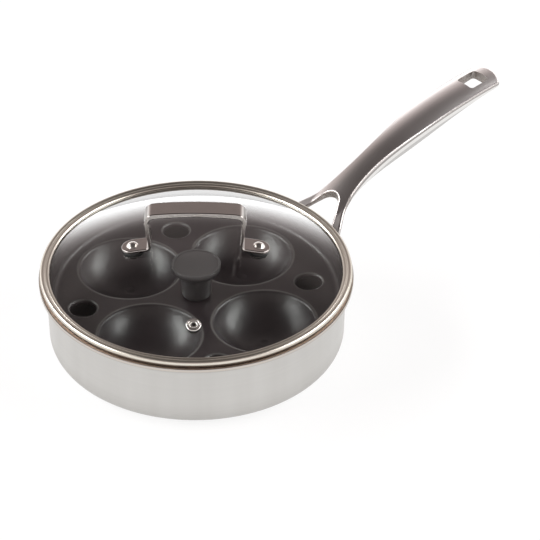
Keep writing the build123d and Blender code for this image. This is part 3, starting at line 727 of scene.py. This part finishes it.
class PanLook(bpy.types.PropertyGroup):
    """Colours of the finishes, and how the glass bends and mirrors light."""

    wall_light: colour_property("Wall light", "Lighter streaks of the brushed wall", (0.64, 0.63, 0.61))
    wall_dark: colour_property("Wall dark", "Darker streaks of the brushed wall", (0.43, 0.415, 0.395))
    # Painted light and shade: the warm tone painted into the lip's trough
    trough_painted_light_and_shade: colour_property("Trough stain", "Stained trough inside the pan's lip", (0.80, 0.70, 0.62))
    band_light: colour_property("Band light", "Lighter streaks of the rim band", (0.74, 0.70, 0.625))
    band_dark: colour_property("Band dark", "Darker streaks of the rim band", (0.50, 0.465, 0.405))
    # Painted shade: the darker colour where the band dips into the lip
    band_gap_painted_shade: colour_property("Band grime", "Grime where the band dips into the lip", (0.36, 0.31, 0.275))
    # Painted light and shade: the top's colours run from a darker root to a lighter grip
    handle_top_painted_light: colour_property("Handle top", "Polished top of the handle's grip", (0.97, 0.94, 0.93))
    handle_root_painted_shade: colour_property("Handle root", "Polished top of the handle's fork", (0.60, 0.565, 0.55))
    handle_side: colour_property("Handle side", "Satin side of the handle", (0.80, 0.79, 0.77))
    # Painted shade: the darker lower side and the dark line along the top's edge
    handle_low_painted_shade: colour_property("Handle low", "Lower part of the handle's side", (0.56, 0.55, 0.54))
    handle_edge_painted_shade: colour_property("Handle edge", "Dark line along the edge of the top", (0.36, 0.34, 0.33))
    handle_gap: colour_property("Handle gap", "Cast walls of the fork and the hang hole", (0.42, 0.40, 0.38))
    handle_rust: colour_property("Handle rust", "Rust in the grain of the cast walls", (0.24, 0.20, 0.18))
    tray_light: colour_property("Tray light", "Lighter cloud of the tray's coating", (0.030, 0.021, 0.024))
    tray_dark: colour_property("Tray dark", "Darker cloud of the tray's coating", (0.022, 0.015, 0.0175))
    # A little wear, mostly a painted highlight on the rounded edges
    tray_worn_and_highlight: colour_property("Tray worn", "Worn edges of the tray's cups and holes", (0.13, 0.12, 0.118))
    knob_light: colour_property("Knob light", "Lighter cloud of the knob's plastic", (0.075, 0.070, 0.072))
    knob_dark: colour_property("Knob dark", "Darker cloud of the knob's plastic", (0.055, 0.050, 0.052))
    # Painted light: the lighter colour of the knob's top
    knob_top_painted_light: colour_property("Knob top", "The knob's top, dulled by use", (0.125, 0.115, 0.118))
    glass_tint: colour_property("Glass tint", "Light that each face lets through", (0.965, 0.975, 0.968))
    glass_index: FloatProperty(name="Glass index", description="How much the glass bends light",
                               default=1.52)
    glass_mirror: FloatProperty(name="Glass mirror", description="What the glass mirrors in a square view",
                                default=0.04)
    glass_glance: FloatProperty(name="Glass glance", description="How late the glass turns to a full mirror",
                                default=4.2)
    glass_sheen: FloatProperty(name="Glass sheen", description="Added mirroring of the steep glass",
                               default=0.42)


class StudioLook(bpy.types.PropertyGroup):
    """Camera and light."""

    azimuth: FloatProperty(name="Azimuth", description="Camera's direction in degrees", default=-42.0)
    elevation: FloatProperty(name="Elevation", description="Camera's height in degrees", default=35.8)
    distance: length_property("Distance", "From the camera to the lid's rim", 2497.0 * MM)
    lens: FloatProperty(name="Lens", description="Focal length in millimetres", default=244.9)
    rim_height: length_property("Rim height", "Height of the lid's rim, for the view", 54.3 * MM)
    aim_right: length_property("Aim right", "The picture's middle, to the right of the rim", 50.2 * MM)
    aim_up: length_property("Aim up", "The picture's middle, above the rim", 0.2 * MM)
    box_side: FloatProperty(name="Softbox side", description="Degrees from the camera round to each softbox",
                            default=94.0)
    box_elevation: FloatProperty(name="Softbox elevation", description="Each softbox's height in degrees",
                                 default=34.0)
    box_distance: length_property("Softbox distance", "From the pan to each softbox", 1.8)
    box_width: length_property("Softbox width", "Width of each softbox", 1.9)
    box_height: length_property("Softbox height", "Height of each softbox", 0.5)
    left_light: FloatProperty(name="Left light", description="Power of the left softbox", default=27.0)
    right_light: FloatProperty(name="Right light", description="Power of the right softbox", default=21.0)
    horizon: FloatProperty(name="Horizon", description="Brightness of the pale room low down", default=1.9)
    haze: FloatProperty(name="Haze", description="Brightness added half way up the room", default=0.42)
    ceiling: FloatProperty(name="Ceiling", description="Brightness of the room overhead", default=0.08)
    ceiling_tint: colour_property("Ceiling tint", "Colour of the room overhead", (1.0, 0.86, 0.83))
    floor_glow: FloatProperty(name="Floor glow", description="Brightness of the floor's glow", default=1.06)
    floor_seen: FloatProperty(name="Floor seen", description="Share of glow in the camera's view",
                              default=0.76)
    floor_mirrored: FloatProperty(name="Floor mirrored", description="Share of glow in mirrored views",
                                  default=0.85)
    floor_through: FloatProperty(name="Floor through glass", description="Share of glow seen through glass",
                                 default=0.80)


class PoacherPiece:
    """What every piece's operator shares."""

    bl_options = {"REGISTER", "UNDO"}


class POACHER_OT_pan(PoacherPiece, bpy.types.Operator):
    """Finish the pan's plies, handle and rivets"""

    bl_idname = "poacher.pan"
    bl_label = "Pan and handle"

    def execute(self, context):
        look = context.scene.pan_look
        paint(pan_wall_finish(look), "pan_outer_ply")
        paint(pan_inside_finish(look), "pan_inner_ply")
        paint(core_finish(), "pan_core_ply")
        paint(handle_finish(look), "pan_handle")
        steel = polished_finish("rivet_steel", light=(0.82, 0.81, 0.79), dark=(0.74, 0.73, 0.71), rough=0.12)
        paint(steel, "handle_rivets")
        return {"FINISHED"}


class POACHER_OT_tray(PoacherPiece, bpy.types.Operator):
    """Finish the tray and its hidden fixings"""

    bl_idname = "poacher.tray"
    bl_label = "Poacher tray"

    def execute(self, context):
        paint(tray_finish(context.scene.pan_look), "poacher_tray")
        paint(brass_finish(), "knob_nut_insert")
        steel = polished_finish("fixing_steel", light=(0.76, 0.75, 0.74), dark=(0.66, 0.65, 0.64), rough=0.2)
        paint(steel, "knob_screw", "knob_washer", "lid_backing_washers")
        return {"FINISHED"}


class POACHER_OT_knob(PoacherPiece, bpy.types.Operator):
    """Turn the tray's knob"""

    bl_idname = "poacher.knob"
    bl_label = "Knob"

    def execute(self, context):
        scene = context.scene
        turned("knob_moulded", knob_section(scene.pan_sizes), closed=False,
               material=knob_finish(scene.pan_look), body="tray", replaced="knob_grip",
               steps=scene.pan_sizes.steps // 2)
        return {"FINISHED"}


class POACHER_OT_lid(PoacherPiece, bpy.types.Operator):
    """Finish the glass and roll its rim band"""

    bl_idname = "poacher.lid"
    bl_label = "Glass and rim band"

    def execute(self, context):
        scene = context.scene
        paint(glass_finish(scene.pan_look), "lid_glass")
        turned("rim_band_rolled", band_section(scene.pan_sizes), closed=True,
               material=band_finish(scene.pan_look), body="lid", replaced="lid_rim_band",
               steps=scene.pan_sizes.steps)
        return {"FINISHED"}


class POACHER_OT_bow(PoacherPiece, bpy.types.Operator):
    """Finish the lid's bow and its gaskets"""

    bl_idname = "poacher.bow"
    bl_label = "Bow handle"

    def execute(self, context):
        # Painted shade: the bow's polished steel is coloured much darker than the pan's other steel
        steel = polished_finish("bow_steel", light=(0.39, 0.36, 0.345), dark=(0.33, 0.31, 0.295), rough=0.07)
        paint(steel, "lid_handle")
        paint(rubber_finish(), "lid_upper_gaskets", "lid_lower_gaskets", "vent_gasket")
        return {"FINISHED"}


class POACHER_OT_fixings(PoacherPiece, bpy.types.Operator):
    """Turn the bow's rivets and set them round the dome"""

    bl_idname = "poacher.fixings"
    bl_label = "Bow rivets"

    def execute(self, context):
        sizes = context.scene.pan_sizes
        steel = polished_finish("bow_rivet_steel", light=(0.74, 0.71, 0.68), dark=(0.66, 0.63, 0.60),
                                rough=0.22)
        section = rivet_section(sizes.rivet_head, sizes.rivet_rise, sizes.rivet_shank,
                                -sizes.rivet_depth, sizes.gasket + sizes.tab)
        turned("bow_rivets", section, closed=False, material=steel, body="lid",
               replaced="lid_handle_rivets", steps=sizes.small_steps, count=2,
               reach=BOW_RIVET_REACH, turn=LID_TURN, on_dome=True)
        return {"FINISHED"}


class POACHER_OT_vent(PoacherPiece, bpy.types.Operator):
    """Roll the steam vent's eyelet"""

    bl_idname = "poacher.vent"
    bl_label = "Steam vent"

    def execute(self, context):
        sizes = context.scene.pan_sizes
        steel = polished_finish("vent_steel", light=(0.74, 0.72, 0.69), dark=(0.66, 0.64, 0.61), rough=0.18)
        turned("vent_rolled", eyelet_section(sizes), closed=True, material=steel, body="lid",
               replaced="vent_eyelet", steps=sizes.small_steps, reach=VENT_REACH,
               turn=LID_TURN - QUARTER, on_dome=True)
        return {"FINISHED"}


class POACHER_OT_studio(PoacherPiece, bpy.types.Operator):
    """Make the floor, the lights, the room and the camera"""

    bl_idname = "poacher.studio"
    bl_label = "Studio"

    def execute(self, context):
        look = context.scene.studio_look
        floor(look)
        room(look)
        lights(look)
        camera(look)
        return {"FINISHED"}


# The studio
def camera_side(azimuth, elevation):
    """Directions from the object to the camera, to the picture's right and to its top."""
    a = math.radians(azimuth)
    e = math.radians(elevation)
    back = Vector((math.sin(a) * math.cos(e), -math.cos(a) * math.cos(e), math.sin(e)))
    right = Vector((math.cos(a), math.sin(a), 0.0))
    return back, right, back.cross(right)


def camera(look):
    """The camera at the photograph's viewing angle."""
    back, right, top = camera_side(look.azimuth, look.elevation)
    rim_centre = Vector((0.0, 0.0, look.rim_height))
    aim = rim_centre + right * look.aim_right + top * look.aim_up
    data = bpy.data.cameras.new("camera")
    data.sensor_width = 36.0
    data.lens = look.lens
    data.clip_start = 0.1
    data.clip_end = 50.0
    made = bpy.data.objects.new("camera", data)
    made.location = rim_centre + back * look.distance
    made.rotation_mode = "QUATERNION"
    made.rotation_quaternion = (aim - made.location).to_track_quat("-Z", "Y")
    bpy.context.scene.collection.objects.link(made)
    bpy.context.scene.camera = made


def softbox(name, look, side, power):
    """An area light that faces the pan from a direction beside the camera's."""
    back = camera_side(look.azimuth + side, look.box_elevation)[0]
    data = bpy.data.lights.new(name, "AREA")
    data.shape = "RECTANGLE"
    data.size = look.box_width
    data.size_y = look.box_height
    data.energy = power
    made = bpy.data.objects.new(name, data)
    made.location = back * look.box_distance
    made.rotation_mode = "QUATERNION"
    made.rotation_quaternion = (-back).to_track_quat("-Z", "Y")
    bpy.context.scene.collection.objects.link(made)


def lights(look):
    """Two wide softboxes, one on each side."""
    softbox("left_softbox", look, -look.box_side, look.left_light)
    softbox("right_softbox", look, look.box_side, look.right_light)


def room(look):
    """A pale room low down and a dim one overhead, and white where the camera looks, through glass too."""
    world = bpy.data.worlds.new("room")
    bpy.context.scene.world = world
    world.use_nodes = True
    made = Nodes(world.node_tree)
    direction = made.node("ShaderNodeTexCoord", {}, {}, "Generated")
    height = made.node("ShaderNodeSeparateXYZ", {}, {"Vector": direction}, "Z")
    low = made.between(height, *HORIZON_FADE, 1.0, 0.0)
    middle = made.between(height, *HAZE_FADE, 1.0, 0.0)
    level = look.ceiling + low * (look.horizon - look.ceiling - look.haze) + middle * look.haze
    colour = made.mixed(low, tuple(look.ceiling_tint), (1.0, 1.0, 1.0))
    rays = [made.node("ShaderNodeLightPath", {}, {}, name)
            for name in ("Is Camera Ray", "Is Transmission Ray")]
    seen = rays[0] + rays[1]
    white = made.mixed(seen, colour, (1.0, 1.0, 1.0))
    strength = seen + (1.0 - seen) * level
    light = made.node("ShaderNodeBackground", {}, {"Color": white, "Strength": strength})
    end = made.tree.nodes.new("ShaderNodeOutputWorld")
    made.tree.links.new(light.socket, end.inputs["Surface"])


def floor(look):
    """A wide floor that glows white for every view of it, and is plain enough to keep the pan's shadow."""
    mesh = bpy.data.meshes.new("floor")
    half = 4.0
    depth = -0.1 * MM
    corners = [(x * half, y * half, depth) for x, y in ((-1, -1), (1, -1), (1, 1), (-1, 1))]
    mesh.from_pydata(corners, [], [(0, 1, 2, 3)])
    made = Finish("floor_white")
    plain = made.node("ShaderNodeBsdfDiffuse", {}, {"Color": (0.98, 0.98, 0.98, 1.0)})
    glow = made.node("ShaderNodeEmission", {}, {"Color": (1.0, 1.0, 1.0, 1.0), "Strength": look.floor_glow})
    rays = [made.node("ShaderNodeLightPath", {}, {}, name)
            for name in ("Is Camera Ray", "Is Glossy Ray", "Is Transmission Ray")]
    seen = rays[0] * look.floor_seen + rays[1] * look.floor_mirrored + rays[2] * look.floor_through
    mesh.materials.append(made.out(made.node("ShaderNodeMixShader", {}, {0: seen, 1: plain, 2: glow})))
    made = bpy.data.objects.new("floor", mesh)
    bpy.context.scene.collection.objects.link(made)


class POACHER_PT_panel(bpy.types.Panel):
    """Lists the pan's pieces and settings"""

    bl_idname = "POACHER_PT_panel"
    bl_label = "Egg Poacher"
    bl_space_type = "VIEW_3D"
    bl_region_type = "UI"
    bl_category = "Egg Poacher"

    def draw(self, context):
        layout = self.layout
        for operator in PIECES:
            layout.operator(operator.bl_idname)
        for group in (context.scene.pan_sizes, context.scene.pan_look, context.scene.studio_look):
            for name in group.__annotations__:
                layout.prop(group, name)


PIECES = (POACHER_OT_pan, POACHER_OT_tray, POACHER_OT_knob, POACHER_OT_lid, POACHER_OT_bow,
          POACHER_OT_fixings, POACHER_OT_vent, POACHER_OT_studio)
GROUPS = {"pan_sizes": PanSizes, "pan_look": PanLook, "studio_look": StudioLook}


def register():
    for made in (*GROUPS.values(), *PIECES, POACHER_PT_panel):
        bpy.utils.register_class(made)
    for name, group in GROUPS.items():
        setattr(bpy.types.Scene, name, PointerProperty(type=group))


def unregister():
    for name in GROUPS:
        delattr(bpy.types.Scene, name)
    for made in (POACHER_PT_panel, *PIECES[::-1], *GROUPS.values()):
        bpy.utils.unregister_class(made)


def main():
    """Makes every piece in order."""
    register()
    bpy.context.scene.view_settings.view_transform = "Standard"
    bpy.ops.poacher.pan()
    bpy.ops.poacher.tray()
    bpy.ops.poacher.knob()
    bpy.ops.poacher.lid()
    bpy.ops.poacher.bow()
    bpy.ops.poacher.fixings()
    bpy.ops.poacher.vent()
    bpy.ops.poacher.studio()


if __name__ == "__main__":
    main()
